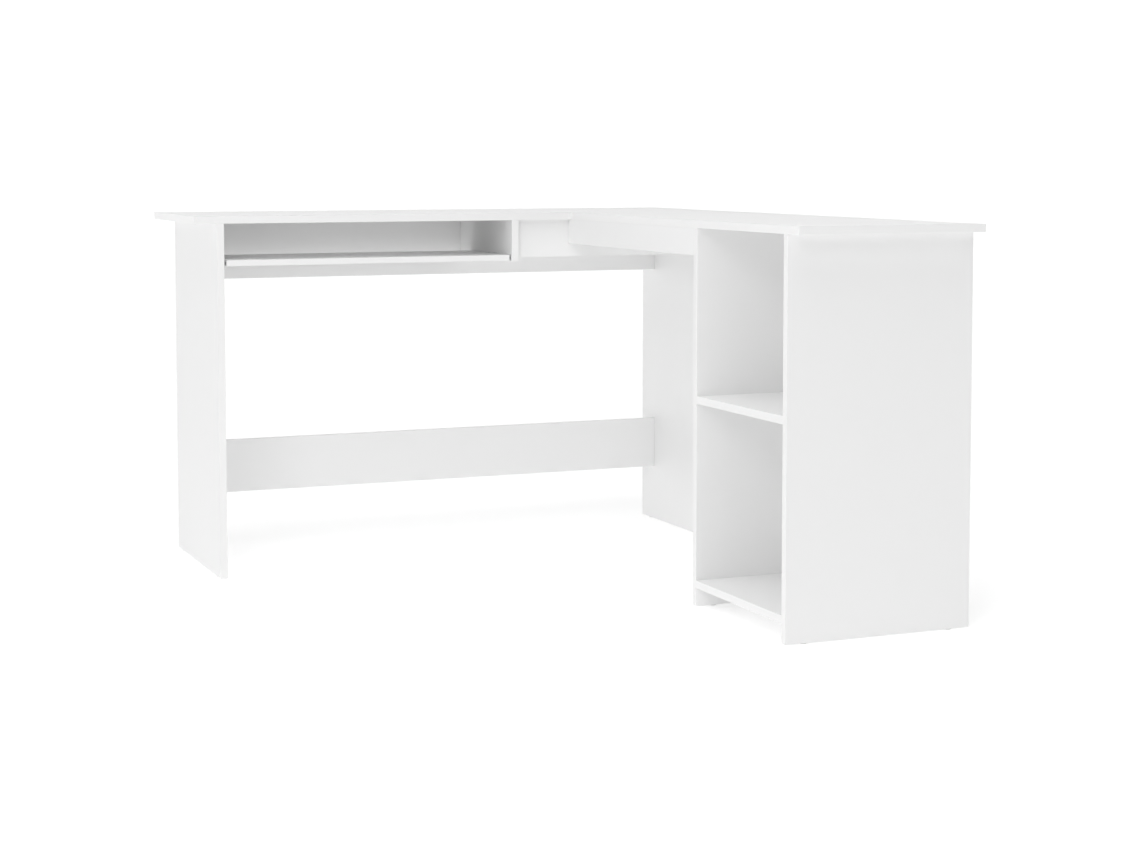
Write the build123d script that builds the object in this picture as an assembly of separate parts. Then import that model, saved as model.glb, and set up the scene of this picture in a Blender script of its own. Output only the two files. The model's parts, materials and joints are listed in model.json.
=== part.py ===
from build123d import *
import os

# Corner desk: an L-shaped desktop on two leg panels and an open cabinet, with a keyboard tray on
# ball slides. White melamine-faced boards, held together with cam locks and dowels.
# Millimetres. +X runs along the main wing towards the corner, +Y towards the back edge, +Z up.
# The origin is on the floor, under the middle of the desktop's outline.

# ---- Driving dimensions -------------------------------------------------------------------------

# Desktop
main_length = 1200.0
main_depth = 390.0
return_length = 1400.0
return_width = 380.0
desk_height = 740.0
board = 15.0
edge_round = 0.5

# Legs and rails
left_leg_inset = 45.0
rear_rail_inset = 52.0
rear_rail_height = 130.0
stretcher_height = 115.0
stretcher_floor_gap = 127.0
front_rail_inset = 15.0
front_rail_height = 80.0
inner_rail_height = 52.0
outer_rail_height = 130.0

# Keyboard bay
tray_width = 612.0
tray_depth = 250.0
tray_thickness = 12.0
tray_drop = 74.0
tray_travel = 180.0
divider_height = 88.0

# Cabinet
cabinet_width = 340.0
end_overhang = 40.0
bottom_shelf_floor_gap = 37.0
middle_shelf_floor_gap = 391.0

# Ball slides, seen end on: "u" is measured from the wall that carries the slide towards the tray
slide_space = 5.5
slide_height = 14.0
slide_sheet = 0.8
slide_end_gap = 2.5
lip_to_tray = 0.6
ball_diameter = 2.0
ball_play = 0.02
cage_sheet = 0.4
cage_flange = 0.6
cage_gap = 0.3
cage_length = 66.0
cage_hole_play = 0.05
balls_in_row = 8

# Cam locks and dowels
cam_diameter = 15.0
cam_depth = 12.0
cam_setback = 24.0
cam_play = 0.1
cam_recess = 0.2
bolt_thread_diameter = 6.0
bolt_thread_length = 10.0
bolt_shaft_diameter = 4.4
bolt_head_diameter = 6.6
bolt_head_length = 4.0
bolt_bore_diameter = 8.0
bolt_collar_length = 1.5
dowel_diameter = 8.0
dowel_in_face = 10.0
dowel_in_edge = 20.0
seam_dowel_depth = 15.0
fit_play = 0.05
bore_end_play = 0.5

# Screws, plates and glides
slide_screw_diameter = 2.8
slide_screw_length = 12.0
slide_screw_head = 5.2
rail_screw_diameter = 4.0
rail_screw_length = 26.0
rail_screw_head = 8.0
plate_screw_diameter = 3.5
plate_screw_length = 12.0
plate_screw_head = 6.6
plate_length = 100.0
plate_width = 26.0
plate_thickness = 2.0
glide_diameter = 13.0
glide_height = 2.0
glide_nail_diameter = 2.0
glide_nail_length = 14.0
glide_inset = 40.0

# ---- Planes and levels worked out from them -----------------------------------------------------

left = -main_length / 2
right = main_length / 2
back = return_length / 2
front = -return_length / 2
underside = desk_height - board
main_front = back - main_depth
inner_edge = right - return_width

leg_left = left + left_leg_inset
bay_left = leg_left + board
bay_right = bay_left + tray_width + 2 * slide_space
divider_right = bay_right + board
corner_right = right - board
corner_left = corner_right - board

rail_back = back - rear_rail_inset
rail_front = rail_back - board
front_rail_front = main_front + front_rail_inset
front_rail_back = front_rail_front + board

end_outer = front + end_overhang
end_inner = end_outer + board
far_inner = end_inner + cabinet_width
far_outer = far_inner + board

tray_top = underside - tray_drop
tray_axis = tray_top - tray_thickness / 2
tray_back = main_front + tray_depth
slide_back = tray_back - slide_end_gap
slide_front = main_front + slide_end_gap
slide_length = slide_back - slide_front

PLUS_X = Vector(1, 0, 0)
MINUS_X = Vector(-1, 0, 0)
PLUS_Y = Vector(0, 1, 0)
MINUS_Y = Vector(0, -1, 0)
PLUS_Z = Vector(0, 0, 1)
MINUS_Z = Vector(0, 0, -1)

parts = {}
cutters = {}


# ---- Small helpers ------------------------------------------------------------------------------

def block(x0, x1, y0, y1, z0, z1):
    """A rectangular solid between two corners."""
    centre = Pos((x0 + x1) / 2, (y0 + y1) / 2, (z0 + z1) / 2)
    return centre * Box(x1 - x0, y1 - y0, z1 - z0)


def rod(start, direction, length, diameter):
    """A round bar from a point along a direction."""
    upright = Cylinder(diameter / 2, length, align=(Align.CENTER, Align.CENTER, Align.MIN))
    return Plane(origin=start, z_dir=direction) * upright


def cone(start, direction, length, diameter, end_diameter):
    """A tapered bar from a point along a direction."""
    upright = Cone(diameter / 2, end_diameter / 2, length, align=(Align.CENTER, Align.CENTER, Align.MIN))
    return Plane(origin=start, z_dir=direction) * upright


def cross_recess(start, direction, span, depth):
    """The cutter for a cross-shaped driver recess, sunk from a point along a direction."""
    bar = span / 4
    low = (Align.CENTER, Align.CENTER, Align.MIN)
    cross = Box(span, bar, depth, align=low) + Box(bar, span, depth, align=low)
    return Plane(origin=start, z_dir=direction) * cross


def add_board(name, x0, x1, y0, y1, z0, z1):
    """A board with its edges broken, before its bores are cut."""
    blank = block(x0, x1, y0, y1, z0, z1)
    parts[name] = [fillet(blank.edges(), edge_round)]


def add_piece(name, solid):
    """One more solid in a node."""
    parts.setdefault(name, []).append(solid)


def bore(name, cutter):
    """Notes a cut for a board, made once every cut is known."""
    cutters.setdefault(name, []).append(cutter)


# ---- Fasteners ----------------------------------------------------------------------------------

def cam_lock(face_board, edge_board, seat, inward, cam_face):
    """A bolt screwed into one board's face, gripped by a cam in the other board's bored face.

    The seat is where the two boards meet, inward points into the edge board,
    and cam_face points out of the face that the cam is let into.
    """
    hub = seat + inward * cam_setback
    mouth = hub + cam_face * (board / 2)
    cam_top = mouth - cam_face * cam_recess
    head_start = cam_setback - bolt_head_length / 2
    bolt_end = cam_setback + bolt_head_length / 2
    socket = rod(seat, inward, bolt_end + bore_end_play, bolt_head_diameter + 4 * cam_play)

    cam = rod(cam_top, -cam_face, cam_depth, cam_diameter - 2 * cam_play)
    cam = cam - socket - cross_recess(cam_top, -cam_face, cam_diameter / 2, cam_depth / 6)
    add_piece("cam_housings", cam)

    bolt = rod(seat, -inward, bolt_thread_length, bolt_thread_diameter - 2 * fit_play)
    bolt = bolt + rod(seat, inward, bolt_collar_length, bolt_bore_diameter - 2 * fit_play)
    bolt = bolt + rod(seat, inward, bolt_end, bolt_shaft_diameter)
    bolt = bolt + rod(seat + inward * head_start, inward, bolt_head_length, bolt_head_diameter)
    add_piece("cam_bolts", bolt)

    bore(face_board, rod(seat, -inward, bolt_thread_length + bore_end_play, bolt_thread_diameter))
    bore(edge_board, rod(seat, inward, cam_setback, bolt_bore_diameter))
    bore(edge_board, rod(mouth, -cam_face, cam_depth + cam_recess + cam_play, cam_diameter))


def dowel(face_board, edge_board, seat, inward, face_depth=dowel_in_face, edge_depth=dowel_in_edge):
    """A fluted beech dowel across a joint, with its ends chamfered."""
    pin = rod(seat - inward * face_depth, inward, face_depth + edge_depth, dowel_diameter - 2 * fit_play)
    add_piece("dowels", chamfer(pin.edges().filter_by(GeomType.CIRCLE), dowel_diameter / 8))
    bore(face_board, rod(seat, -inward, face_depth + bore_end_play, dowel_diameter))
    bore(edge_board, rod(seat, inward, edge_depth + bore_end_play, dowel_diameter))


def edge_joint(face_board, edge_board, start, end, inward, cam_face, pattern):
    """Fasteners evenly spaced along a joint: c is a cam lock and d a dowel."""
    run = end - start
    for index, kind in enumerate(pattern):
        seat = start + run * ((index + 0.5) / len(pattern))
        if kind == "c":
            cam_lock(face_board, edge_board, seat, inward, cam_face)
        else:
            dowel(face_board, edge_board, seat, inward)


def countersunk_screw(node, boards, seat, direction, length, diameter, head_diameter):
    """A countersunk screw, its head flush at the seat, and its hole in each board that it crosses."""
    taper = (head_diameter - diameter) / 2
    tip = diameter
    screw = cone(seat, direction, taper, head_diameter, diameter)
    screw = screw + rod(seat, direction, length - tip, diameter)
    screw = screw + cone(seat + direction * (length - tip), direction, tip, diameter, diameter / 5)
    screw = screw - cross_recess(seat, direction, head_diameter / 2, taper)
    add_piece(node, screw)

    wide = head_diameter + 2 * fit_play
    narrow = diameter + 2 * fit_play
    hole = cone(seat, direction, taper, wide, narrow)
    hole = hole + rod(seat, direction, length + bore_end_play, narrow)
    for name in boards:
        bore(name, hole)


# ---- Boards -------------------------------------------------------------------------------------

def make_boards():
    """Every board of the carcass, as plain blanks."""
    add_board("main_top", left, right, main_front, back, underside, desk_height)
    add_board("return_top", inner_edge, right, front, main_front, underside, desk_height)

    leg_foot = glide_height
    add_board("left_leg_panel", leg_left, bay_left, main_front, back, leg_foot, underside)
    add_board("corner_leg_panel", corner_left, corner_right, main_front, back, leg_foot, underside)
    add_board("cabinet_far_panel", inner_edge, right, far_inner, far_outer, leg_foot, underside)
    add_board("cabinet_end_panel", inner_edge, right, end_outer, end_inner, leg_foot, underside)

    rail_foot = underside - rear_rail_height
    stretcher_top = stretcher_floor_gap + stretcher_height
    add_board("rear_rail", bay_left, corner_left, rail_front, rail_back, rail_foot, underside)
    add_board("stretcher", bay_left, corner_left, rail_front, rail_back, stretcher_floor_gap, stretcher_top)

    divider_foot = underside - divider_height
    add_board("tray_divider", bay_right, divider_right, main_front, rail_front, divider_foot, underside)

    rail_foot = underside - front_rail_height
    add_board("corner_front_rail", divider_right, corner_left,
              front_rail_front, front_rail_back, rail_foot, underside)

    rail_foot = underside - inner_rail_height
    add_board("return_inner_rail", inner_edge, inner_edge + board,
              far_outer, front_rail_front, rail_foot, underside)

    rail_foot = underside - outer_rail_height
    add_board("return_outer_rail", corner_right, right, far_outer, back, rail_foot, underside)

    shelf_foot = bottom_shelf_floor_gap
    add_board("bottom_shelf", inner_edge, right, end_inner, far_inner, shelf_foot, shelf_foot + board)

    shelf_foot = middle_shelf_floor_gap
    add_board("middle_shelf", inner_edge, right, end_inner, far_inner, shelf_foot, shelf_foot + board)

    add_board("keyboard_tray", bay_left + slide_space, bay_right - slide_space,
              main_front, tray_back, tray_top - tray_thickness, tray_top)


# ---- Joints between the boards ------------------------------------------------------------------

def join_tops():
    """The two halves of the desktop, and everything that stands under them."""
    half = board / 2
    for share in (0.08, 0.5, 0.92):
        seat = Vector(inner_edge + share * return_width, main_front, desk_height - half)
        dowel("main_top", "return_top", seat, MINUS_Y, seam_dowel_depth, seam_dowel_depth)

    under_main = [
        ("left_leg_panel", leg_left + half, leg_left + half, back, main_front, PLUS_X, "dcdcd"),
        ("corner_leg_panel", corner_left + half, corner_left + half, back, main_front, MINUS_X, "dcdcd"),
        ("tray_divider", bay_right + half, bay_right + half, rail_front, main_front, PLUS_X, "cdc"),
        ("rear_rail", bay_left, corner_left, rail_front + half, rail_front + half, PLUS_Y, "dcddcd"),
        ("corner_front_rail", divider_right, corner_left,
         front_rail_front + half, front_rail_front + half, PLUS_Y, "cddc"),
        ("return_outer_rail", right - half, right - half, back, main_front, MINUS_X, "dd"),
    ]
    under_return = [
        ("return_inner_rail", inner_edge + half, inner_edge + half, main_front, far_outer, PLUS_X, "cddc"),
        ("return_outer_rail", right - half, right - half, main_front, far_outer, MINUS_X, "cddc"),
        ("cabinet_far_panel", inner_edge, right, far_inner + half, far_inner + half, PLUS_Y, "dcdcd"),
        ("cabinet_end_panel", inner_edge, right, end_outer + half, end_outer + half, PLUS_Y, "dcdcd"),
    ]
    for top, stands in (("main_top", under_main), ("return_top", under_return)):
        for name, x0, x1, y0, y1, cam_face, pattern in stands:
            start = Vector(x0, y0, underside)
            end = Vector(x1, y1, underside)
            edge_joint(top, name, start, end, MINUS_Z, cam_face, pattern)


def join_rails():
    """Rails butted against the leg panels and against each other."""
    half = board / 2
    rear_y = rail_front + half
    rear_foot = underside - rear_rail_height
    stretcher_top = stretcher_floor_gap + stretcher_height
    for rail, foot, head in (("rear_rail", rear_foot, underside),
                             ("stretcher", stretcher_floor_gap, stretcher_top)):
        edge_joint("left_leg_panel", rail, Vector(bay_left, rear_y, foot), Vector(bay_left, rear_y, head),
                   PLUS_X, PLUS_Y, "cdc")
        edge_joint("corner_leg_panel", rail, Vector(corner_left, rear_y, foot),
                   Vector(corner_left, rear_y, head), MINUS_X, PLUS_Y, "cdc")

    divider_x = bay_right + half
    edge_joint("rear_rail", "tray_divider", Vector(divider_x, rail_front, underside - divider_height),
               Vector(divider_x, rail_front, underside), MINUS_Y, PLUS_X, "cd")

    front_y = front_rail_front + half
    front_foot = underside - front_rail_height
    edge_joint("tray_divider", "corner_front_rail", Vector(divider_right, front_y, front_foot),
               Vector(divider_right, front_y, underside), PLUS_X, PLUS_Y, "cd")
    edge_joint("corner_leg_panel", "corner_front_rail", Vector(corner_left, front_y, front_foot),
               Vector(corner_left, front_y, underside), MINUS_X, PLUS_Y, "cd")

    inner_x = inner_edge + half
    inner_foot = underside - inner_rail_height
    edge_joint("corner_front_rail", "return_inner_rail", Vector(inner_x, front_rail_front, inner_foot),
               Vector(inner_x, front_rail_front, underside), MINUS_Y, PLUS_X, "cd")
    edge_joint("cabinet_far_panel", "return_inner_rail", Vector(inner_x, far_outer, inner_foot),
               Vector(inner_x, far_outer, underside), PLUS_Y, PLUS_X, "cd")

    outer_x = right - half
    outer_foot = underside - outer_rail_height
    edge_joint("cabinet_far_panel", "return_outer_rail", Vector(outer_x, far_outer, outer_foot),
               Vector(outer_x, far_outer, underside), PLUS_Y, MINUS_X, "cdc")


def join_cabinet():
    """Shelves between the cabinet's two upright panels, open on both sides."""
    half = board / 2
    sides = (("cabinet_far_panel", far_inner, MINUS_Y), ("cabinet_end_panel", end_inner, PLUS_Y))
    shelves = (("bottom_shelf", bottom_shelf_floor_gap + half), ("middle_shelf", middle_shelf_floor_gap + half))
    for panel, y, inward in sides:
        for shelf, z in shelves:
            edge_joint(panel, shelf, Vector(inner_edge, y, z), Vector(right, y, z), inward, MINUS_Z, "dcdcd")


def screw_outer_rail():
    """Screws through the outer rail into the corner leg panel that it lies against."""
    outer_foot = underside - outer_rail_height
    for y_share in (0.3, 0.8):
        for z_share in (0.2, 0.6):
            seat = Vector(right, back - y_share * main_depth, outer_foot + z_share * outer_rail_height)
            countersunk_screw("rail_screws", ["return_outer_rail", "corner_leg_panel"], seat, MINUS_X,
                              rail_screw_length, rail_screw_diameter, rail_screw_head)


def make_joining_plates():
    """Flat plates that hold the two tops level, screwed up under the seam."""
    plate_foot = underside - plate_thickness
    screw_offset_x = plate_length * 0.35
    screw_offset_y = plate_width * 0.27
    for number, share in enumerate((0.29, 0.7), start=1):
        centre_x = inner_edge + share * return_width
        plate = f"joining_plate_{number}"
        blank = block(centre_x - plate_length / 2, centre_x + plate_length / 2,
                      main_front - plate_width / 2, main_front + plate_width / 2, plate_foot, underside)
        parts[plate] = [fillet(blank.edges().filter_by(Axis.Z), plate_width / 8)]
        for dx in (-screw_offset_x, screw_offset_x):
            for dy, top in ((-screw_offset_y, "return_top"), (screw_offset_y, "main_top")):
                seat = Vector(centre_x + dx, main_front + dy, plate_foot)
                countersunk_screw("plate_screws", [plate, top], seat, PLUS_Z,
                                  plate_screw_length, plate_screw_diameter, plate_screw_head)


# ---- Glides -------------------------------------------------------------------------------------

def make_glides():
    """Nail-in glides, two under each panel that stands on the floor."""
    half = board / 2
    feet = []
    for name, x in (("left_leg_panel", leg_left + half), ("corner_leg_panel", corner_left + half)):
        feet += [(name, x, back - glide_inset), (name, x, main_front + glide_inset)]
    for name, y in (("cabinet_far_panel", far_inner + half), ("cabinet_end_panel", end_outer + half)):
        feet += [(name, inner_edge + glide_inset, y), (name, right - glide_inset, y)]
    for name, x, y in feet:
        pad = rod(Vector(x, y, 0), PLUS_Z, glide_height, glide_diameter)
        pad = fillet(pad.edges().group_by(Axis.Z)[0], glide_height / 3)
        nail_hole = rod(Vector(x, y, glide_height / 2), PLUS_Z, glide_height, glide_nail_diameter)
        add_piece("floor_glides", pad - nail_hole)
        nail_foot = Vector(x, y, glide_height / 2)
        add_piece("glide_nails", rod(nail_foot, PLUS_Z, glide_nail_length, glide_nail_diameter - 2 * fit_play))
        bore(name, rod(nail_foot, PLUS_Z, glide_nail_length + bore_end_play, glide_nail_diameter))


# ---- Ball slides --------------------------------------------------------------------------------

def across(wall, side, u0, u1, y0, y1, z0, z1):
    """A block beside a wall, u0 to u1 away from it on the given side."""
    near = wall + side * u0
    far = wall + side * u1
    return block(min(near, far), max(near, far), y0, y1, z0, z1)


def channel(wall, side, web_u, lip_u, half_height, sheet, y0, y1):
    """A folded channel: a web between two values of u, and a lip along its top and bottom."""
    low = tray_axis - half_height
    high = tray_axis + half_height
    shape = across(wall, side, web_u[0], web_u[1], y0, y1, low, high)
    shape = shape + across(wall, side, lip_u[0], lip_u[1], y0, y1, high - sheet, high)
    return shape + across(wall, side, lip_u[0], lip_u[1], y0, y1, low, low + sheet)


def make_slide(hand, wall, side, wall_board):
    """One ball slide: the fixed member, the tray's member, and the cage of balls between them."""
    outer_half = slide_height / 2
    ball_z = outer_half - slide_sheet - ball_diameter / 2
    inner_half = ball_z - ball_diameter / 2
    cage_u = slide_sheet + cage_gap
    inner_web_u = slide_space - slide_sheet
    lip_start_u = cage_u + cage_sheet + cage_gap
    ball_u = (slide_sheet + inner_web_u) / 2

    outer = f"{hand}_slide_outer"
    inner = f"{hand}_slide_inner"
    parts[outer] = [channel(wall, side, (0, slide_sheet), (0, slide_space - lip_to_tray),
                            outer_half, slide_sheet, slide_front, slide_back)]
    parts[inner] = [channel(wall, side, (inner_web_u, slide_space), (lip_start_u, slide_space),
                            inner_half, slide_sheet, slide_front, slide_back)]

    cage_back = slide_back - tray_travel / 2 - slide_end_gap
    cage = channel(wall, side, (cage_u, cage_u + cage_sheet), (cage_u, inner_web_u - cage_gap),
                   ball_z + cage_flange / 2, cage_flange, cage_back - cage_length, cage_back)
    pitch = cage_length / balls_in_row
    for row in (-1, 1):
        for index in range(balls_in_row):
            centre = Vector(wall + side * ball_u, cage_back - (index + 0.5) * pitch, tray_axis + row * ball_z)
            add_piece(f"{hand}_slide_balls", Pos(centre) * Sphere(ball_diameter / 2 - ball_play))
            hole_start = centre - PLUS_Z * (ball_diameter / 2)
            cage = cage - rod(hole_start, PLUS_Z, ball_diameter, ball_diameter + 2 * cage_hole_play)
    parts[f"{hand}_ball_cage"] = [cage]

    to_wall = Vector(-side, 0, 0)
    to_tray = Vector(side, 0, 0)
    for share in (0.1, 0.5, 0.9):
        y = slide_back - share * slide_length
        countersunk_screw("slide_wall_screws", [outer, wall_board],
                          Vector(wall + side * slide_sheet, y, tray_axis), to_wall,
                          slide_screw_length, slide_screw_diameter, slide_screw_head)
        countersunk_screw("slide_tray_screws", [inner, "keyboard_tray"],
                          Vector(wall + side * inner_web_u, y, tray_axis), to_tray,
                          slide_screw_length, slide_screw_diameter, slide_screw_head)


# ---- Assembly -----------------------------------------------------------------------------------

make_boards()
join_tops()
join_rails()
join_cabinet()
screw_outer_rail()
make_joining_plates()
make_glides()
make_slide("left", bay_left, 1, "left_leg_panel")
make_slide("right", bay_right, -1, "tray_divider")

for name, cuts in cutters.items():
    parts[name] = [parts[name][0] - cuts]

os.makedirs("parts", exist_ok=True)
for name, solids in parts.items():
    shape = solids[0] if len(solids) == 1 else Compound(children=solids)
    export_step(shape, f"parts/{name}.step")
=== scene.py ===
# %% [markdown]
# # A corner desk, from its frame to its finish
# The desk is an L of white melamine-faced board on two leg panels and an open cabinet, with a
# keyboard tray on ball slides. The frame already holds every board, bore and joint at its real
# size, so this lesson leaves their shapes alone and works on what the eye reads next: the light,
# the paper-faced boards with their edge bands, and the small metal and beech fittings, which are
# made again here with threads, flutes and driver recesses.

# %% Load the frame
import bpy
import bmesh
import json
import math
import numpy as np
from mathutils import Matrix, Vector

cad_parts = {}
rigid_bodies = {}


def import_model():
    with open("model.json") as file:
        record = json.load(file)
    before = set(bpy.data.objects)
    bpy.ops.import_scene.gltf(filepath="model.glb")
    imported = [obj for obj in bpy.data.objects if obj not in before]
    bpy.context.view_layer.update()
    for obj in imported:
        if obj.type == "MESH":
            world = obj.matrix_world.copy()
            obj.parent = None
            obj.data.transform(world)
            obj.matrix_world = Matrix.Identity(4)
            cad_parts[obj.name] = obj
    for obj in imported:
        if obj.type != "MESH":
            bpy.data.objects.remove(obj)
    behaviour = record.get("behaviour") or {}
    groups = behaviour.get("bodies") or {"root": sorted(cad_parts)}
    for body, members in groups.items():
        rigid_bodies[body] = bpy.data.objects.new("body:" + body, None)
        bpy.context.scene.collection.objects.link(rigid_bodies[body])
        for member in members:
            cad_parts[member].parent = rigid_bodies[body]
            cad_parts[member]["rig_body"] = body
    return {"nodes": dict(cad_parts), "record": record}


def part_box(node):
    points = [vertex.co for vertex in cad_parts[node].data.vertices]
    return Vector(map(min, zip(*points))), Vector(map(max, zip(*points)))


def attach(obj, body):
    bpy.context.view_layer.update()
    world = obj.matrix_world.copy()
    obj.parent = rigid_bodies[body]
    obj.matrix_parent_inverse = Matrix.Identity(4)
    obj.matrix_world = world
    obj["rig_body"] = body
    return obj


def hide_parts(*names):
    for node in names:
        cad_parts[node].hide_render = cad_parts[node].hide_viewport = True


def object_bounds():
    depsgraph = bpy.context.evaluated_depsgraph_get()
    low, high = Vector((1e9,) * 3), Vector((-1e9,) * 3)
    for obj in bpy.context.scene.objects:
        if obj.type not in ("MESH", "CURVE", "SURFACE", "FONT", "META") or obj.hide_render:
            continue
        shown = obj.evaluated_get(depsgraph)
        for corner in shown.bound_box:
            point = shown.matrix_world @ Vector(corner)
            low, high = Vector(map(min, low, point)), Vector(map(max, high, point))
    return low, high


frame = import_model()
cad_low, cad_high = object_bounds()
print("desk box in metres:", list(cad_low), list(cad_high))


def in_scene(name, data):
    """A new object with this data, linked into the scene."""
    made = bpy.data.objects.new(name, data)
    bpy.context.scene.collection.objects.link(made)
    return made


# %% [markdown]
# ## Where the viewer stands
# The viewer sits well back at the user's side, a little to the left, with the eye just above the
# desktop, so the top shows as a thin sliver and both wings run away from the eye. A lens of twice
# the normal length keeps the wings calm. The lens is shifted down a little instead of being
# tipped further, so that the panels stay nearly upright and the desk still sits in the frame.

# %% The camera
eye = Vector((-1.5635, -3.9243, 0.8574))
# Both turns are in radians: heading from +Y towards +X, and dip below the horizon.
heading = 0.3981
dip = 0.0668
camera_data = bpy.data.cameras.new("viewer")
camera_data.sensor_width = 36.0
camera_data.lens = 67.3
camera_data.shift_y = -0.1114
camera = in_scene("viewer", camera_data)
bpy.context.scene.camera = camera
sight = Vector((math.sin(heading) * math.cos(dip),
                math.cos(heading) * math.cos(dip),
                -math.sin(dip)))
camera.location = eye
camera.rotation_euler = sight.to_track_quat("-Z", "Y").to_euler()
print("the eye is", round(eye.z - cad_high.z, 3), "m above the desktop")

# %% [markdown]
# ## One way to write node maths
# Materials and Geometry Nodes trees are both graphs of nodes, and sums read badly as long lists
# of links. A Wire stands for one output socket, and Python's own operators on it add the Math
# nodes, so a mask can be written as 1 - wear * 0.5. The Bench adds every other kind of node with
# one method: the node's type, its settings, and the values or wires of its sockets.

# %% Wires and the bench
class Wire:
    """One output of a node, which Python's operators turn into Math nodes."""

    def __init__(self, bench, socket):
        self.bench = bench
        self.socket = socket

    def math(self, operation, other=0.0):
        """This value and another, through one Math node."""
        return self.bench.math(operation, self, other)

    def __add__(self, other):
        return self.bench.math("ADD", self, other)

    __radd__ = __add__

    def __sub__(self, other):
        return self.bench.math("SUBTRACT", self, other)

    def __rsub__(self, other):
        return self.bench.math("SUBTRACT", other, self)

    def __mul__(self, other):
        return self.bench.math("MULTIPLY", self, other)

    __rmul__ = __mul__

    def __truediv__(self, other):
        return self.bench.math("DIVIDE", self, other)

    def clamped(self):
        """This value held between 0 and 1."""
        return self.bench.node("ShaderNodeClamp", {}, {"Value": self})


class Bench:
    """A node tree under construction, for a material or for geometry."""

    def __init__(self, tree):
        self.tree = tree

    def find(self, sockets, key):
        """The socket with this number, identifier or name."""
        if isinstance(key, int):
            return sockets[key]
        named = [s for s in sockets if s.identifier == key]
        named += [s for s in sockets if s.name == key and s.enabled]
        return named[0]

    def node(self, kind, settings=None, sockets=None, output=0):
        """One node; a list of values makes several links into the same socket."""
        made = self.tree.nodes.new(kind)
        for name, value in (settings or {}).items():
            setattr(made, name, value)
        for key, value in (sockets or {}).items():
            for each in value if isinstance(value, list) else [value]:
                socket = self.find(made.inputs, key)
                if isinstance(each, Wire):
                    self.tree.links.new(each.socket, socket)
                else:
                    socket.default_value = each
        return Wire(self, self.find(made.outputs, output)) if made.outputs else None

    def math(self, operation, first, second=0.0):
        """One Math node."""
        return self.node("ShaderNodeMath", {"operation": operation}, {0: first, 1: second})

    def split(self, vector):
        """The three numbers of a vector, each as a wire."""
        parts = self.node("ShaderNodeSeparateXYZ", {}, {"Vector": vector}).socket.node
        return [Wire(self, parts.outputs[axis]) for axis in range(3)]

    def blend(self, factor, first, second):
        """A colour from the first (factor 0) to the second (factor 1)."""
        sockets = {"Factor_Float": factor, "A_Color": first, "B_Color": second}
        return self.node("ShaderNodeMix", {"data_type": "RGBA"}, sockets, "Result_Color")

    def noise(self, place, scale, detail=2.0, roughness=0.5):
        """Soft random patches, with this many of them to a metre."""
        sockets = {"Vector": place, "Scale": scale, "Detail": detail, "Roughness": roughness}
        return self.node("ShaderNodeTexNoise", {}, sockets)

    def bump(self, height, strength, distance):
        """A surface normal that leans with a height."""
        sockets = {"Height": height, "Strength": strength, "Distance": distance}
        return self.node("ShaderNodeBump", {}, sockets)

    def stretched(self, place, scales):
        """A place multiplied axis by axis, so that patterns run longer one way."""
        return self.node("ShaderNodeVectorMath", {"operation": "MULTIPLY"}, {0: place, 1: scales})

    def object_place(self):
        """The shaded point, in the piece's own coordinates."""
        return self.node("ShaderNodeTexCoord", {}, {}, "Object")


def grey(value):
    """A neutral colour."""
    return (value, value, value, 1.0)


def new_material(name):
    """An empty material and the bench to build it on."""
    material = bpy.data.materials.new(name)
    material.use_nodes = True
    material.node_tree.nodes.clear()
    return material, Bench(material.node_tree)


def close_material(bench, sockets):
    """The Principled shader with these sockets, wired to the material's output."""
    shader = bench.node("ShaderNodeBsdfPrincipled", {}, sockets)
    bench.node("ShaderNodeOutputMaterial", {}, {"Surface": shader})


# %% [markdown]
# ## A white room
# A white desk on a white ground has no dark outline, so its form has to come from soft shade:
# light from all round, a little less of it where boards meet. A white sky that is brightest
# overhead gives that. A broad soft panel overhead lifts the tops, and a second one, lower and on
# the user's left, reaches into the cabinet. The floor is a pale sheet that sweeps up far behind
# the desk, as it does in a studio, so no edge shows, and it glows a little, more so far behind
# the desk, to stay white where little light reaches it.

# %% Floor, sky and soft panels
horizon_strength = 0.18
zenith_gain = 0.62
desk_middle = Vector((0.0, 0.0, 0.5))
# Each panel's place, its width in metres and its power in watts.
panels = {
    "high_panel": ((-1.0, -1.2, 4.6), 3.0, 46.0),
    "low_panel": ((-3.4, -4.4, 3.6), 2.2, 52.0),
}
# The glow's strength, its share near the desk, and how far behind it the share rises to one.
floor_glow = 0.43
glow_near = 0.72
glow_rises = 1.5
glow_full = 7.0
floor_pale = 0.94
floor_palest = 0.96
floor_reach = 36.0
# The sweep's profile: how far beyond the floor's edge, and how high, in metres.
sweep = [(0.0, 0.0), (4.0, 0.8), (7.0, 3.0), (8.5, 7.0), (9.0, 15.0)]
sweep_half_angle = math.radians(100)
sweep_steps = 40


def sweep_ring(out, up, half_angle):
    """Points on an arc about the desk, centred on the direction the viewer looks in."""
    reach = floor_reach + out
    steps = range(sweep_steps + 1)
    angles = [heading + half_angle * (2 * step / sweep_steps - 1) for step in steps]
    return [(reach * math.sin(a), reach * math.cos(a), cad_low.z + up) for a in angles]


points = [point for out, up in sweep for point in sweep_ring(out, up, sweep_half_angle)]
row = sweep_steps + 1
faces = []
for level in range(len(sweep) - 1):
    for step in range(sweep_steps):
        first = level * row + step
        faces.append((first + 1, first, first + row, first + row + 1))
corners = sweep_ring(0.0, 0.0, math.pi)[:-1]
faces.append(tuple(reversed(range(len(points), len(points) + len(corners)))))
floor_mesh = bpy.data.meshes.new("floor")
floor_mesh.from_pydata(points + corners, [], faces)
floor = in_scene("floor", floor_mesh)
print("the floor sweeps up", sweep[-1][1], "m, in", len(faces), "faces")

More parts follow.
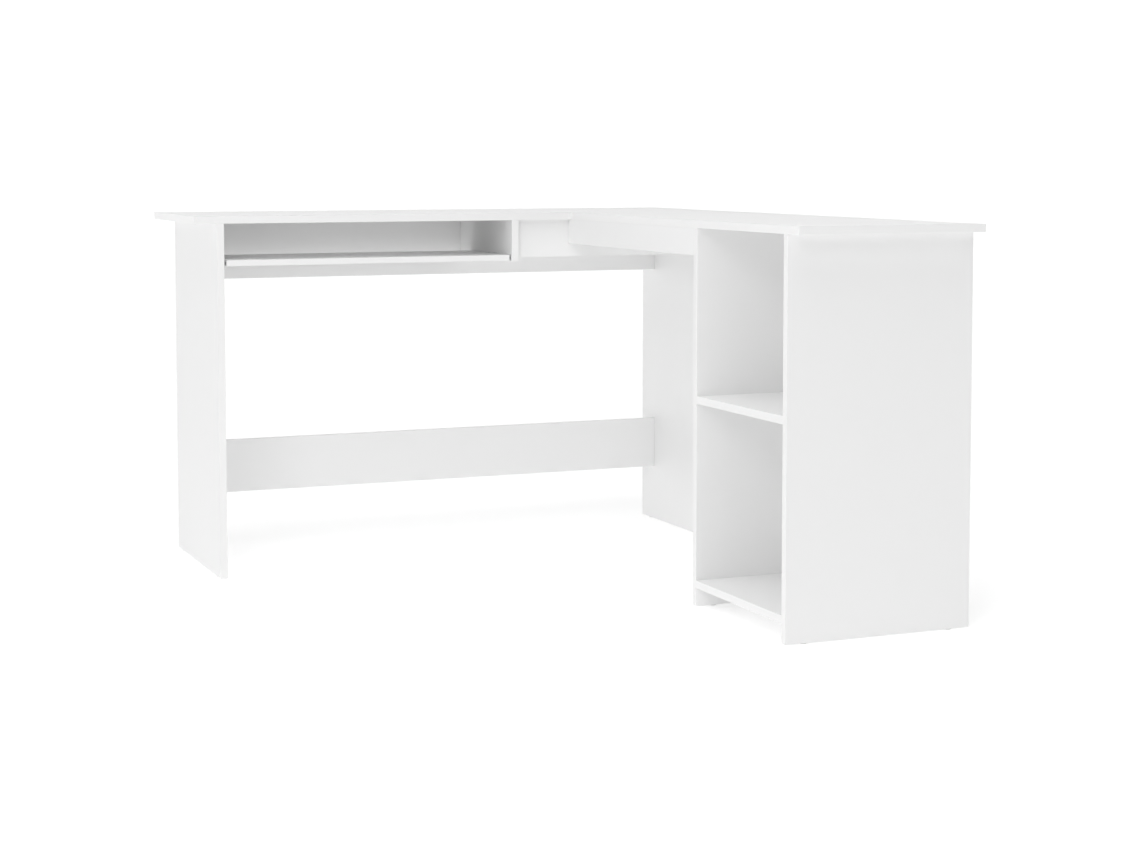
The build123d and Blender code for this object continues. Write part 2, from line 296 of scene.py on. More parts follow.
floor_material, bench = new_material("pale_floor")
place = bench.object_place()
tone = bench.noise(place, 0.8, 3.0)
floor_colour = bench.blend(tone, grey(floor_pale), grey(floor_palest))
across, along, _ = bench.split(place)
ahead = across * math.sin(heading) + along * math.cos(heading)
risen = ((ahead - glow_rises) / (glow_full - glow_rises)).clamped()
glow = bench.blend(risen, grey(glow_near), grey(1.0))
close_material(bench, {"Base Color": floor_colour, "Roughness": 0.9, "Emission Color": glow,
                       "Emission Strength": floor_glow, "Specular IOR Level": 0.1})
floor_mesh.materials.append(floor_material)

world = bpy.data.worlds.new("white_room")
world.use_nodes = True
world.node_tree.nodes.clear()
bench = Bench(world.node_tree)
upwards = bench.split(bench.node("ShaderNodeTexCoord", {}, {}, "Generated"))[2]
brightness = horizon_strength + zenith_gain * upwards.clamped()
sky = bench.node("ShaderNodeBackground", {}, {"Color": grey(1.0), "Strength": brightness})
bench.node("ShaderNodeOutputWorld", {}, {"Surface": sky})
bpy.context.scene.world = world
bpy.context.scene.view_settings.view_transform = "Standard"

for name, (place, size, power) in panels.items():
    panel_data = bpy.data.lights.new(name, "AREA")
    panel_data.shape = "DISK"
    panel_data.size = size
    panel_data.energy = power
    panel = in_scene(name, panel_data)
    panel.location = place
    aim = desk_middle - panel.location
    panel.rotation_euler = aim.to_track_quat("-Z", "Y").to_euler()
    print(name, round(aim.length, 2), "m from the desk's middle")

# %% [markdown]
# ## Melamine-faced board
# The boards are chipboard, pressed between two sheets of white melamine paper, with a plastic
# band glued to every cut edge. The paper has a fine pearl texture, the band is a shade brighter
# and smoother with faint lines along its length, and a hair of glue shows where the two meet.
# Inside a bore the brown chips show. All of that depends only on how deep a point lies under the
# board's own six faces, so each board's material measures it from the board's box.

# %% The board material
millimetre = 0.001
band_thickness = 0.45 * millimetre
joint_half_width = 0.12 * millimetre
core_depth = 0.35 * millimetre
rim_reach = 0.25 * millimetre
mask_softness = 0.1 * millimetre
bump_distance = 0.06 * millimetre

# Patches to a metre; the band's lines are few along the board and many across it.
drift_scale = 5.0
smudge_scale = 14.0
pearl_scale = 1100.0
chip_scale = 420.0
lines_along = 12.0
lines_across = 2600.0

# Roughness of the paper and of bare chips, and what smudges and the smooth band change.
paper_roughness = 0.40
smudge_spread = 0.16
band_smoother = 0.07
chip_roughness = 0.9
glue_strength = 0.35

# Weights of each texture in the relief, and how strongly the relief shows.
relief_strength = 0.35
pearl_relief = 0.35
line_relief = 0.3
chip_relief = 6.0
joint_relief = 1.2

paper_white = (0.925, 0.925, 0.923, 1.0)
paper_shade = (0.915, 0.916, 0.916, 1.0)
band_white = (0.930, 0.930, 0.928, 1.0)
glue_grey = (0.55, 0.54, 0.52, 1.0)
chip_light = (0.56, 0.41, 0.25, 1.0)
chip_dark = (0.25, 0.15, 0.08, 1.0)


def melamine(node):
    """The finish of one board, measured from its own box."""
    low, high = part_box(node)
    size = high - low
    thin = min(range(3), key=lambda axis: size[axis])
    material, bench = new_material(f"melamine_{node}")
    place = bench.object_place()
    along = bench.split(place)
    depth = []
    for axis in range(3):
        centre = (low[axis] + high[axis]) / 2
        depth.append(size[axis] / 2 - (along[axis] - centre).math("ABSOLUTE"))
    face_depth = depth[thin]
    rim_depth = depth[(thin + 1) % 3].math("MINIMUM", depth[(thin + 2) % 3])
    inside = ((face_depth.math("MINIMUM", rim_depth) - core_depth) / mask_softness).clamped()
    on_rim = ((rim_reach - rim_depth) / mask_softness).clamped()
    off_joint = (rim_depth - band_thickness).math("ABSOLUTE") / joint_half_width
    joint = (1.0 - off_joint).clamped() * (1.0 - inside)

    drift = bench.noise(place, drift_scale, 3.0)
    pearl = bench.noise(place, pearl_scale, 2.0, 0.6)
    smudge = bench.noise(place, smudge_scale, 4.0, 0.65)
    band_lines = bench.noise(bench.stretched(place, line_scales(size)), 1.0, 2.0)
    chips = bench.noise(place, chip_scale, 5.0, 0.7)

    paper = bench.blend(drift, paper_white, paper_shade)
    colour = bench.blend(on_rim, paper, band_white)
    colour = bench.blend(joint * glue_strength, colour, glue_grey)
    core = bench.blend(((chips - 0.35) * 3.0).clamped(), chip_dark, chip_light)
    colour = bench.blend(inside, colour, core)
    roughness = paper_roughness + (smudge - 0.5) * smudge_spread - on_rim * band_smoother
    roughness = roughness * (1.0 - inside) + inside * chip_roughness
    relief = pearl * (1.0 - on_rim) * pearl_relief + band_lines * on_rim * line_relief
    relief = relief + chips * inside * chip_relief - joint * joint_relief
    close_material(bench, {"Base Color": colour, "Roughness": roughness, "IOR": 1.5,
                           "Normal": bench.bump(relief, relief_strength, bump_distance)})
    return material


def line_scales(size):
    """Pattern scales that draw the band's lines along the board's longest side."""
    longest = max(range(3), key=lambda axis: size[axis])
    return tuple(lines_along if axis == longest else lines_across for axis in range(3))


def wears(piece, material):
    """Gives a piece one material all over."""
    piece.data.materials.clear()
    piece.data.materials.append(material)


slot_of = {part["node"]: part["material_slot"] for part in frame["record"]["subparts"]}
boards = sorted(node for node, slot in slot_of.items() if slot == "white_melamine")
for node in boards:
    wears(frame["nodes"][node], melamine(node))
print(len(boards), "boards faced")

# %% [markdown]
# ## Metals, plastic and beech
# The slides are folded sheet with a white powder coat, which dries with a slight orange peel. The
# balls are polished, the cages are bright strip with rolling marks, the cams are cast zinc with a
# dull mottled skin, and the screws are zinc plated, which is never quite even. The dowels are
# beech, a pale wood with short dark flecks along its grain.

# %% Small finishes
fine_bump = 0.05 * millimetre
spark_bump = 0.04 * millimetre
# Patches to a metre, across and across and then along the dowel.
fibre_scales = (1500.0, 1500.0, 90.0)
fleck_scales = (2600.0, 2600.0, 420.0)
fleck_start = 0.62
fleck_contrast = 9.0


def powder_coat():
    """White powder coat, with orange peel and a trace of dust."""
    material, bench = new_material("white_powder_coat")
    place = bench.object_place()
    peel = bench.noise(place, 520.0, 2.0)
    dust = bench.noise(place, 30.0, 3.0)
    colour = bench.blend(dust, (0.93, 0.93, 0.93, 1.0), (0.90, 0.905, 0.91, 1.0))
    close_material(bench, {"Base Color": colour, "Roughness": 0.22 + dust * 0.12,
                           "Normal": bench.bump(peel, 0.4, fine_bump)})
    return material


def metal(name, bright, dull, roughness, mottle_scale, grain_scale, relief):
    """A bare metal whose colour and gloss drift over it, with a fine grain."""
    material, bench = new_material(name)
    place = bench.object_place()
    mottle = bench.noise(place, mottle_scale, 4.0, 0.6)
    grain = bench.noise(place, grain_scale, 2.0)
    colour = bench.blend(((mottle - 0.3) * 2.2).clamped(), bright, dull)
    close_material(bench, {"Base Color": colour, "Metallic": 1.0,
                           "Roughness": roughness + (mottle - 0.5) * 0.2 + (grain - 0.5) * 0.08,
                           "Normal": bench.bump(grain, relief, fine_bump)})
    return material


def moulded_plastic():
    """Off-white plastic with the mould's spark texture."""
    material, bench = new_material("moulded_plastic")
    place = bench.object_place()
    spark = bench.noise(place, 1600.0, 2.0)
    cloud = bench.noise(place, 90.0, 3.0)
    colour = bench.blend(cloud, (0.78, 0.78, 0.765, 1.0), (0.72, 0.72, 0.705, 1.0))
    close_material(bench, {"Base Color": colour, "Roughness": 0.45 + spark * 0.15,
                           "Normal": bench.bump(spark, 0.5, spark_bump)})
    return material


def beech_wood():
    """Beech read from the dowel's own grain attribute, so that the grain runs along each one."""
    material, bench = new_material("beech")
    grain = bench.node("ShaderNodeAttribute", {"attribute_name": "grain"}, {}, "Vector")
    fibre = bench.noise(bench.stretched(grain, fibre_scales), 1.0, 4.0)
    fleck = bench.noise(bench.stretched(grain, fleck_scales), 1.0, 1.0)
    fleck = ((fleck - fleck_start) * fleck_contrast).clamped()
    colour = bench.blend(fibre, (0.66, 0.46, 0.28, 1.0), (0.50, 0.32, 0.18, 1.0))
    colour = bench.blend(fleck * 0.7, colour, (0.26, 0.14, 0.07, 1.0))
    close_material(bench, {"Base Color": colour, "Roughness": 0.62 + fibre * 0.15,
                           "Normal": bench.bump(fibre - fleck, 0.5, bump_distance)})
    return material


finishes = {
    "slide_steel": powder_coat(),
    "cage_steel": metal(
        "bright_strip", bright=(0.70, 0.71, 0.72, 1.0), dull=(0.55, 0.56, 0.58, 1.0),
        roughness=0.32, mottle_scale=260.0, grain_scale=1900.0, relief=0.4),
    "ball_steel": metal(
        "polished_ball", bright=(0.80, 0.81, 0.83, 1.0), dull=(0.72, 0.73, 0.76, 1.0),
        roughness=0.12, mottle_scale=700.0, grain_scale=2400.0, relief=0.1),
    "zinc_screw": metal(
        "zinc_plate", bright=(0.72, 0.73, 0.75, 1.0), dull=(0.60, 0.60, 0.58, 1.0),
        roughness=0.34, mottle_scale=340.0, grain_scale=2100.0, relief=0.3),
    "zinc_casting": metal(
        "cast_zinc", bright=(0.52, 0.53, 0.54, 1.0), dull=(0.38, 0.385, 0.39, 1.0),
        roughness=0.52, mottle_scale=420.0, grain_scale=1300.0, relief=0.8),
    "plate_steel": metal(
        "plate_zinc", bright=(0.66, 0.67, 0.69, 1.0), dull=(0.52, 0.52, 0.51, 1.0),
        roughness=0.38, mottle_scale=120.0, grain_scale=900.0, relief=0.4),
    "glide_plastic": moulded_plastic(),
    "beech": beech_wood(),
}
for node, slot in slot_of.items():
    if slot in finishes:
        wears(frame["nodes"][node], finishes[slot])
print(len(finishes), "small finishes")

# %% [markdown]
# ## Finding each fitting's place
# The frame holds every screw, cam, bolt, dowel and ball as a plain solid. Each one gives the
# place and the turn of the detailed copy that stands for it: its solids are told apart by which
# points their faces join, and the shape of each tells which way it points. A screw points away
# from its wide end, and a bolt away from its thread. A cam's face is the one with the driver
# cross, and its open side gives its turn.

# %% Reading the plain solids
same_point = 0.001 * millimetre
widest_margin = 0.05 * millimetre
# Shares of a cam's radius and half depth that pick out its driver cross and its open side.
cross_radius_share = 0.6
cross_height_share = 0.6
mouth_radius_share = 0.97
mouth_height_share = 0.7


def solids_of(node):
    """The points of each separate solid in a CAD node, in metres and in a fixed order."""
    mesh = bmesh.new()
    mesh.from_mesh(frame["nodes"][node].data)
    bmesh.ops.remove_doubles(mesh, verts=mesh.verts, dist=same_point)
    waiting = set(mesh.verts)
    solids = []
    while waiting:
        front = [waiting.pop()]
        points = []
        while front:
            vertex = front.pop()
            points.append(tuple(vertex.co))
            near = [edge.other_vert(vertex) for edge in vertex.link_edges]
            fresh = [other for other in near if other in waiting]
            waiting.difference_update(fresh)
            front.extend(fresh)
        solids.append(np.array(sorted(points)))
    mesh.free()
    return sorted(solids, key=lambda points: tuple(points.mean(axis=0).round(6)))


def turned_to(axis, side):
    """The turn that carries +Z to an axis, with +X towards a side."""
    across = axis.cross(side).normalized()
    columns = Matrix((across.cross(axis), across, axis)).transposed()
    return columns.to_euler()


def measure(points, axis):
    """A solid's middle, its heights along an axis and its distances from that axis."""
    middle = (points.min(axis=0) + points.max(axis=0)) / 2
    offset = points - middle
    height = offset[:, axis].copy()
    offset[:, axis] = 0
    return Vector(middle), height, np.linalg.norm(offset, axis=1), offset


def unit(axis, sign=1.0):
    """One step along an axis."""
    return Vector([sign if number == axis else 0.0 for number in range(3)])


def long_poses(node, pointed=True):
    """Where each long fitting is and which way it points.

    A pointed one is placed by its wide end, and one with two like ends by its middle.
    """
    poses = []
    for points in solids_of(node):
        axis = int(np.argmax(np.ptp(points, axis=0)))
        place, height, radius, _ = measure(points, axis)
        sign = 1.0
        if pointed:
            widest = height[radius > radius.max() - widest_margin].mean()
            sign = -1.0 if widest > 0 else 1.0
            place = place - unit(axis, sign) * height.max()
        poses.append((place, turned_to(unit(axis, sign), unit((axis + 1) % 3))))
    return poses


def cam_poses(node):
    """Where each cam's face is, which way it looks, and where its open side is."""
    poses = []
    for points in solids_of(node):
        axis = int(np.argmin(np.ptp(points, axis=0)))
        middle, height, radius, offset = measure(points, axis)
        half = height.max()
        outer = radius.max()
        cross = (radius < outer * cross_radius_share) & (abs(height) > half * cross_height_share)
        sign = 1.0 if height[cross].mean() > 0 else -1.0
        mouth = (radius > outer * mouth_radius_share) & (abs(height) < half * mouth_height_share)
        opening = Vector(offset[mouth].mean(axis=0)).normalized()
        poses.append((middle + unit(axis, sign) * half, turned_to(unit(axis, sign), opening)))
    return poses


def ball_poses(node):
    """Where each ball's middle is; a ball needs no turn."""
    upright = turned_to(unit(2), unit(0))
    return [(measure(points, 2)[0], upright) for points in solids_of(node)]


print(len(solids_of("dowels")), "dowels stand in the frame")

# %% [markdown]
# ## Fittings by Geometry Nodes
# Each kind of fitting is one small tree with named sizes. The tree builds the fitting once, puts
# a copy on every point of a small cloud, turned as that point's attribute says, makes the copies
# real and gives them their finish. The result is turned into a plain mesh, so nothing is left to
# work out later. The grain attribute keeps each point's place in the fitting's own axes, which
# lets the wood's grain follow every dowel.

# %% The shared ends of every tree
cross_bar_share = 0.24
steps_per_turn = 14


def start_tree(name, sizes):
    """A tree with a point cloud, a finish and named sizes as inputs."""
    tree = bpy.data.node_groups.new(name, "GeometryNodeTree")
    tree.interface.new_socket(name="Cloud", in_out="INPUT", socket_type="NodeSocketGeometry")
    tree.interface.new_socket(name="Finish", in_out="INPUT", socket_type="NodeSocketMaterial")
    for label in sizes:
        tree.interface.new_socket(name=label, in_out="INPUT", socket_type="NodeSocketFloat")
    tree.interface.new_socket(name="Pieces", in_out="OUTPUT", socket_type="NodeSocketGeometry")
    bench = Bench(tree)
    entry = bench.node("NodeGroupInput").socket.node
    wires = {socket.name: Wire(bench, socket) for socket in entry.outputs if socket.name}
    return tree, bench, wires


def finish_tree(bench, wires, shape, smooth_angle=0.6):
    """Copies of the shape on the cloud's points, made real and given their finish.

    Edges whose faces meet at less than the smooth angle, in radians, are shaded smooth.
    """
    own_place = bench.node("GeometryNodeInputPosition")
    shape = bench.node("GeometryNodeStoreNamedAttribute",
                       {"data_type": "FLOAT_VECTOR", "domain": "POINT"},
                       {"Geometry": shape, "Name": "grain", "Value": own_place})
    flat = bench.node("GeometryNodeInputMeshEdgeAngle").math("LESS_THAN", smooth_angle)
    shape = bench.node("GeometryNodeSetShadeSmooth", {"domain": "EDGE"},
                       {"Geometry": shape, "Shade Smooth": flat})
    shape = bench.node("GeometryNodeSetShadeSmooth", {"domain": "FACE"}, {"Geometry": shape})
    turn = bench.node("GeometryNodeInputNamedAttribute", {"data_type": "FLOAT_VECTOR"},
                      {"Name": "turn"})
    rotation = bench.node("FunctionNodeEulerToRotation", {}, {"Euler": turn})
    copies = bench.node("GeometryNodeInstanceOnPoints", {},
                        {"Points": wires["Cloud"], "Instance": shape, "Rotation": rotation})
    real = bench.node("GeometryNodeRealizeInstances", {}, {"Geometry": copies})
    real = bench.node("GeometryNodeSetMaterial", {},
                      {"Geometry": real, "Material": wires["Finish"]})
    bench.node("NodeGroupOutput", {}, {"Pieces": real})


def moved(bench, shape, x=0.0, y=0.0, z=0.0, turn=(0.0, 0.0, 0.0)):
    """A shape turned and carried to a place, whose numbers may be wires."""
    place = bench.node("ShaderNodeCombineXYZ", {}, {"X": x, "Y": y, "Z": z})
    return bench.node("GeometryNodeTransform", {},
                      {"Geometry": shape, "Translation": place, "Rotation": turn})


def block(bench, x, y, z):
    """A box of these sizes about the origin."""
    size = bench.node("ShaderNodeCombineXYZ", {}, {"X": x, "Y": y, "Z": z})
    return bench.node("GeometryNodeMeshCube", {}, {"Size": size}, "Mesh")


def joined(bench, *shapes):
    """Several shapes as one geometry."""
    return bench.node("GeometryNodeJoinGeometry", {}, {"Geometry": list(reversed(shapes))})


def cylinder(bench, radius, height, base, sides=24):
    """A closed cylinder on the Z axis, standing on a base height."""
    sockets = {"Vertices": sides, "Radius": radius, "Depth": height}
    bar = bench.node("GeometryNodeMeshCylinder", {}, sockets, "Mesh")
    return moved(bench, bar, z=height * 0.5 + base)


def taper(bench, low_radius, high_radius, height, base, sides=24):
    """A closed cone or frustum on the Z axis, standing on a base height."""
    sockets = {"Vertices": sides, "Radius Bottom": low_radius, "Radius Top": high_radius,
               "Depth": height}
    return moved(bench, bench.node("GeometryNodeMeshCone", {}, sockets, "Mesh"), z=base)


def cut(bench, shape, *tools):
    """A shape with the tools taken out of it."""
    settings = {"operation": "DIFFERENCE", "solver": "EXACT"}
    sockets = {"Mesh 1": shape, "Mesh 2": list(tools)}
    return bench.node("GeometryNodeMeshBoolean", settings, sockets, "Mesh")


def driver_cross(bench, span, depth, surface):
    """The two bars of a cross recess, reaching a little above the surface that they cut."""
    bars = []
    for turn in (0.0, math.pi / 2):
        bar = block(bench, span, span * cross_bar_share, depth * 2.0)
        bars.append(moved(bench, bar, z=surface, turn=(0.0, 0.0, turn)))
    return bars


def thread(bench, core_radius, ridge, pitch, length, base):
    """A helical ridge round the Z axis, with a diamond section."""
    spiral = bench.node("GeometryNodeCurveSpiral", {}, {
        "Resolution": steps_per_turn, "Rotations": length / pitch, "Height": length,
        "Start Radius": core_radius, "End Radius": core_radius})
    section = bench.node("GeometryNodeCurvePrimitiveCircle", {"mode": "RADIUS"},
                         {"Resolution": 4, "Radius": ridge}, "Curve")
    ridge_mesh = bench.node("GeometryNodeCurveToMesh", {},
                            {"Curve": spiral, "Profile Curve": section, "Fill Caps": True})
    return moved(bench, ridge_mesh, z=base)


# %% [markdown]
# ### The screws
# All the screws are the same countersunk kind in three sizes: a cone head with a cross recess, a
# thinner core, a helical thread, and a point. The head's face is at the origin and the screw
# grows along +Z.

# %% The screw tree
# The core and its ridge as shares of the shank, and the recess as shares of the head.
screw_core_share = 0.76
screw_ridge_share = 0.95
screw_cross_span = 0.52
screw_cross_depth = 0.85
head_sides = 32
# The core starts just inside the head, and the point ends blunt.
core_start_share = 0.98
blunt_share = 0.1
# The thread leaves a little of the core plain at both ends.
screw_thread_share = 0.92
screw_thread_start = 0.06


def screw_tree():
    """A countersunk screw of a head, a core, a point and a thread."""
    labels = ["Head diameter", "Shank diameter", "Length", "Pitch"]
    tree, bench, wires = start_tree("countersunk_screw", labels)
    head_radius = wires["Head diameter"] * 0.5
    shank_radius = wires["Shank diameter"] * 0.5
    core_radius = shank_radius * screw_core_share
    head_depth = head_radius - shank_radius
    tip = wires["Shank diameter"]
    cross_span = wires["Head diameter"] * screw_cross_span
    recess = driver_cross(bench, cross_span, head_depth * screw_cross_depth, 0.0)
    head = taper(bench, head_radius, shank_radius, head_depth, 0.0, head_sides)
    head = cut(bench, head, *recess)
    core_start = head_depth * core_start_share
    core_length = wires["Length"] - core_start - tip
    core = cylinder(bench, core_radius, core_length, core_start)
    point = taper(bench, core_radius, core_radius * blunt_share, tip, core_start + core_length)
    ridge = (shank_radius - core_radius) * screw_ridge_share
    thread_start = core_start + core_length * screw_thread_start
    thread_length = core_length * screw_thread_share
    turns = thread(bench, core_radius, ridge, wires["Pitch"], thread_length, thread_start)
    finish_tree(bench, wires, joined(bench, head, core, point, turns))
    return tree


screws = screw_tree()
print("the screw tree has", len(screws.nodes), "nodes")

# %% [markdown]
# ### Cams and their bolts
# A cam housing is a cast drum, let into the board's hidden face. It has a chamfered rim, a cross
# for the driver, a socket that takes the bolt's head, and a slot round half of its side, along
# which the head slides and tightens as the cam turns. The bolt has a coarse thread at one end, a
# collar that stops at the board's face, a thin neck, and a head with a chamfer at both ends.

# %% The cam and bolt trees
drum_sides = 56
cam_chamfer_share = 0.03
cam_cross_depth = 0.2
# The socket starts this share of the radius past the drum's middle.
socket_start_share = -0.35
slot_height_share = 0.62
slot_floor_share = 0.74
# How far the cutting shapes reach past what they cut.
slot_reach = 1.3
slot_core_reach = 1.4
half_reach = 3.0


def cam_tree():
    """A cam housing: a drum and its chamfered rim, with socket, slot and cross cut out."""
    labels = ["Diameter", "Depth", "Bolt depth", "Socket diameter"]
    tree, bench, wires = start_tree("cam_housing", labels)
    radius = wires["Diameter"] * 0.5
    chamfer = wires["Diameter"] * cam_chamfer_share
    drum_height = wires["Depth"] - chamfer
    drum = cylinder(bench, radius, drum_height, wires["Depth"] * -1.0, drum_sides)
    rim = taper(bench, radius, radius - chamfer, chamfer, chamfer * -1.0, drum_sides)
    lower = wires["Bolt depth"] * -1.0
    socket_radius = wires["Socket diameter"] * 0.5
    socket = cylinder(bench, socket_radius, radius * 2.0, radius * socket_start_share)
    socket = moved(bench, socket, turn=(0.0, math.pi / 2, 0.0))
    socket = moved(bench, socket, z=lower)
    height = wires["Socket diameter"] * slot_height_share
    slot_outer = cylinder(bench, radius * slot_reach, height, lower - height * 0.5, drum_sides)
    slot_core = cylinder(bench, radius * slot_floor_share, height * slot_core_reach,
                         lower - height * (slot_core_reach / 2), drum_sides)
    half = block(bench, radius * half_reach, radius * half_reach, height * half_reach)
    half = moved(bench, half, y=radius * (half_reach / 2), z=lower)
    slot_ring = cut(bench, slot_outer, slot_core, half)
    recess = driver_cross(bench, radius, wires["Depth"] * cam_cross_depth, 0.0)
    body = cut(bench, drum, socket, slot_ring, *recess)
    top = cut(bench, rim, *recess)
    finish_tree(bench, wires, joined(bench, body, top))
    return tree


# Shares of the bolt's thread diameter.
bolt_core_share = 0.38
bolt_ridge_share = 0.12
bolt_pitch_share = 0.42
# Shares of the bolt's thread length.
bolt_point_share = 0.1
bolt_turns_share = 0.8
bolt_turns_start = 0.12
# Shares of the bolt's head: its bevel's length, the bevel's narrow end and the cross.
bevel_share = 0.2
bevel_narrow = 0.7
bolt_cross_depth = 0.3


def bolt_tree():
    """A cam bolt: a threaded end, a collar, a neck and a head bevelled at both ends."""
    labels = ["Thread diameter", "Thread length", "Collar diameter", "Collar length",
              "Neck diameter", "Head diameter", "Head length", "Reach"]
    tree, bench, wires = start_tree("cam_bolt", labels)
    width = wires["Thread diameter"]
    threaded = wires["Thread length"]
    core_radius = width * bolt_core_share
    tip = threaded * bolt_point_share
    core = cylinder(bench, core_radius, threaded * (1.0 - bolt_point_share), tip)
    point = taper(bench, core_radius * 0.5, core_radius, tip, 0.0)
    turns = thread(bench, core_radius, width * bolt_ridge_share, width * bolt_pitch_share,
                   threaded * bolt_turns_share, threaded * bolt_turns_start)
    collar_radius = wires["Collar diameter"] * 0.5
    collar = cylinder(bench, collar_radius, wires["Collar length"], threaded, head_sides)
    neck_length = wires["Reach"] - wires["Head length"] * 0.5
    neck = cylinder(bench, wires["Neck diameter"] * 0.5, neck_length, threaded)
    radius = wires["Head diameter"] * 0.5
    bevel = wires["Head length"] * bevel_share
    head_base = threaded + wires["Reach"] - wires["Head length"]
    lower = taper(bench, radius * bevel_narrow, radius, bevel, head_base)
    middle = cylinder(bench, radius, wires["Head length"] - bevel * 2.0, head_base + bevel)
    upper_base = head_base + wires["Head length"] - bevel
    upper = taper(bench, radius, radius * bevel_narrow, bevel, upper_base)
    cross_depth = wires["Head length"] * bolt_cross_depth
    recess = driver_cross(bench, radius, cross_depth, head_base + wires["Head length"])
    upper = cut(bench, upper, *recess)
    shape = joined(bench, core, point, turns, collar, neck, lower, middle, upper)
    finish_tree(bench, wires, shape)
    return tree


cams = cam_tree()
bolts = bolt_tree()
print("the cam tree has", len(cams.nodes), "nodes and the bolt tree", len(bolts.nodes))

# %% [markdown]
# ### Dowels and balls
# A dowel is pressed with straight flutes, so that air and glue can escape from its bore, and its
# ends are chamfered to find the hole. The flutes are a wave round the cylinder's edge. A ball is
# just a ball, but it is made of even triangles, so that no pole catches the light.

# %% The dowel and ball trees
dowel_sides = 72
# A point counts as at the dowel's end past this share of its half length.
end_share = 0.9
flute_depth = 0.07
flute_sharpness = 3.0
# How much narrower the dowel's end is, for each length of chamfer.
chamfer_slope = 1.6
ball_subdivisions = 3
ball_smooth_angle = 1.2


def dowel_tree():
    """A dowel with flutes and chamfered ends, drawn from a plain cylinder's points."""
    tree, bench, wires = start_tree("fluted_dowel", ["Diameter", "Length", "Chamfer", "Flutes"])
    sockets = {"Vertices": dowel_sides, "Side Segments": 3, "Radius": wires["Diameter"] * 0.5,
               "Depth": wires["Length"]}
    shape = bench.node("GeometryNodeMeshCylinder", {}, sockets, "Mesh")
    x, y, z = bench.split(bench.node("GeometryNodeInputPosition"))
    half = wires["Length"] * 0.5
    at_end = z.math("ABSOLUTE").math("GREATER_THAN", half * end_share)
    height = z.math("SIGN") * (half - wires["Chamfer"] * (1.0 - at_end))
    angle = bench.math("ARCTAN2", y, x)
    wave = (angle * wires["Flutes"]).math("COSINE") * 0.5 + 0.5
    flute = wave.math("POWER", flute_sharpness)
    narrowing = wires["Chamfer"] * chamfer_slope / wires["Diameter"]
    shrink = (1.0 - flute * flute_depth) * (1.0 - at_end * narrowing)
    sockets = {"X": x * shrink, "Y": y * shrink, "Z": height}
    place = bench.node("ShaderNodeCombineXYZ", {}, sockets)
    shape = bench.node("GeometryNodeSetPosition", {}, {"Geometry": shape, "Position": place})
    finish_tree(bench, wires, shape)
    return tree


def ball_tree():
    """A ball of even triangles."""
    tree, bench, wires = start_tree("ball", ["Diameter"])
    sockets = {"Radius": wires["Diameter"] * 0.5, "Subdivisions": ball_subdivisions}
    shape = bench.node("GeometryNodeMeshIcoSphere", {}, sockets, "Mesh")
    finish_tree(bench, wires, shape, ball_smooth_angle)
    return tree


dowels = dowel_tree()
balls = ball_tree()
print("the dowel tree has", len(dowels.nodes), "nodes and the ball tree", len(balls.nodes))

# %% [markdown]
# ### Fitting them
# The sizes are the stock sizes that the bores were made for. Every cloud's points carry the turn
# of their fitting, and each finished mesh rides on the body that its plain solids ride on.

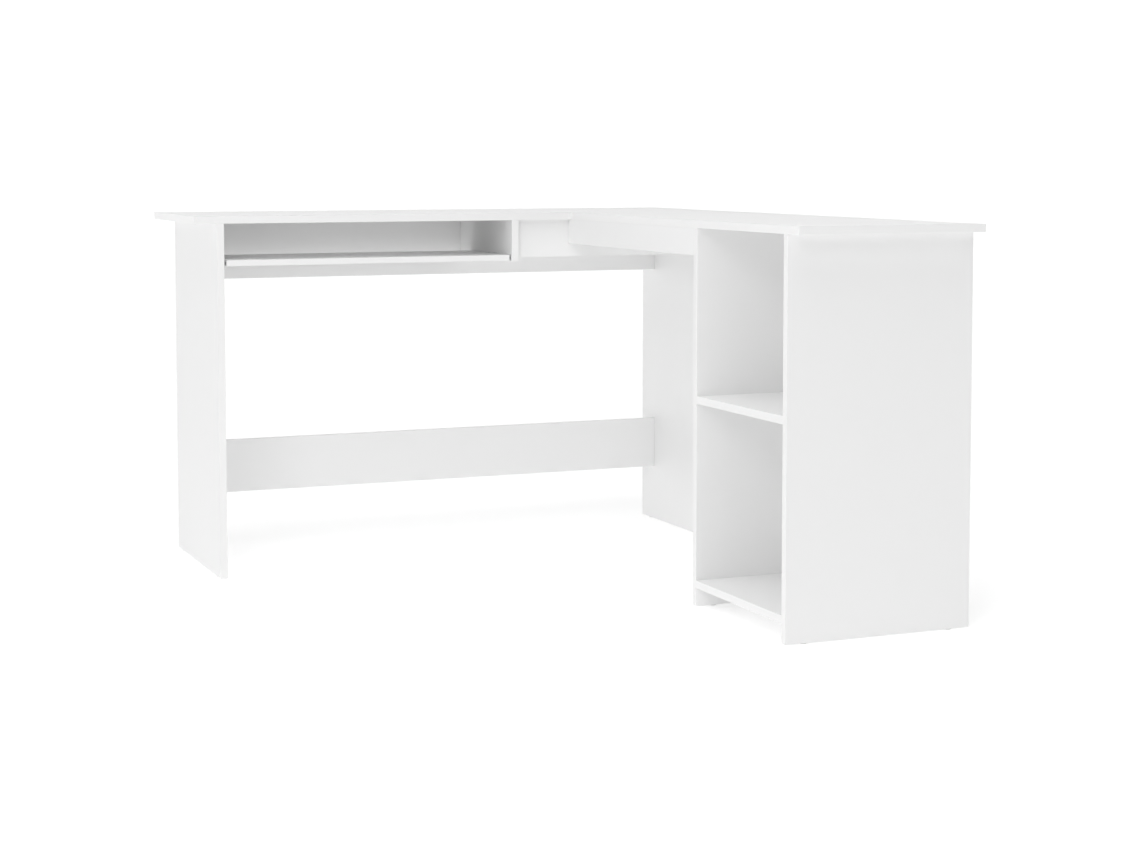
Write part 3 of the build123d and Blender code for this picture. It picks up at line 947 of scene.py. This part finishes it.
# %% Make the clouds and the finished meshes
def fit(name, node, tree, poses, sizes):
    """The detailed copies that stand for one CAD node's plain solids."""
    cloud_mesh = bpy.data.meshes.new(f"{name}_cloud")
    cloud_mesh.from_pydata([place for place, _ in poses], [], [])
    turns = cloud_mesh.attributes.new("turn", "FLOAT_VECTOR", "POINT")
    turns.data.foreach_set("vector", [number for _, turn in poses for number in turn])
    cloud = in_scene(f"{name}_cloud", cloud_mesh)
    modifier = cloud.modifiers.new("fittings", "NODES")
    modifier.node_group = tree
    values = dict(sizes, Finish=finishes[slot_of[node]])
    for item in tree.interface.items_tree:
        if item.in_out == "INPUT" and item.name in values:
            modifier[item.identifier] = values[item.name]
    state = bpy.context.evaluated_depsgraph_get()
    seen = cloud.evaluated_get(state)
    mesh = bpy.data.meshes.new_from_object(seen, preserve_all_data_layers=True, depsgraph=state)
    bpy.data.objects.remove(cloud)
    piece = in_scene(name, mesh)
    body = frame["nodes"][node]["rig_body"]
    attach(piece, body)
    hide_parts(node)
    print(name, len(poses), "copies", len(mesh.polygons), "faces, on", body)


def sized(**sizes):
    """Sizes given in millimetres, as metres under the tree's own labels."""
    labels = {label: label.replace("_", " ").capitalize() for label in sizes}
    return {labels[label]: value * millimetre for label, value in sizes.items()}


slide_screw = sized(head_diameter=5.2, shank_diameter=2.8, length=12.0, pitch=1.1)
plate_screw = sized(head_diameter=6.6, shank_diameter=3.5, length=12.0, pitch=1.4)
rail_screw = sized(head_diameter=8.0, shank_diameter=4.0, length=26.0, pitch=1.8)
cam_size = sized(diameter=14.8, depth=12.0, bolt_depth=7.3, socket_diameter=7.0)
bolt_size = sized(thread_diameter=5.9, thread_length=10.0, collar_diameter=7.9,
                  collar_length=1.5, neck_diameter=4.4, head_diameter=6.6, head_length=4.0,
                  reach=26.0)
dowel_size = sized(diameter=7.9, length=30.0, chamfer=1.0)
dowel_size["Flutes"] = 18.0
ball_size = sized(diameter=1.96)

for node, size in (("slide_wall_screws", slide_screw), ("slide_tray_screws", slide_screw),
                   ("plate_screws", plate_screw), ("rail_screws", rail_screw)):
    fit(f"{node}_threaded", node, screws, long_poses(node), size)
fit("cam_housings_cast", "cam_housings", cams, cam_poses("cam_housings"), cam_size)
fit("cam_bolts_threaded", "cam_bolts", bolts, long_poses("cam_bolts"), bolt_size)
fit("dowels_fluted", "dowels", dowels, long_poses("dowels", pointed=False), dowel_size)
for node in ("left_slide_balls", "right_slide_balls"):
    fit(f"{node}_polished", node, balls, ball_poses(node), ball_size)
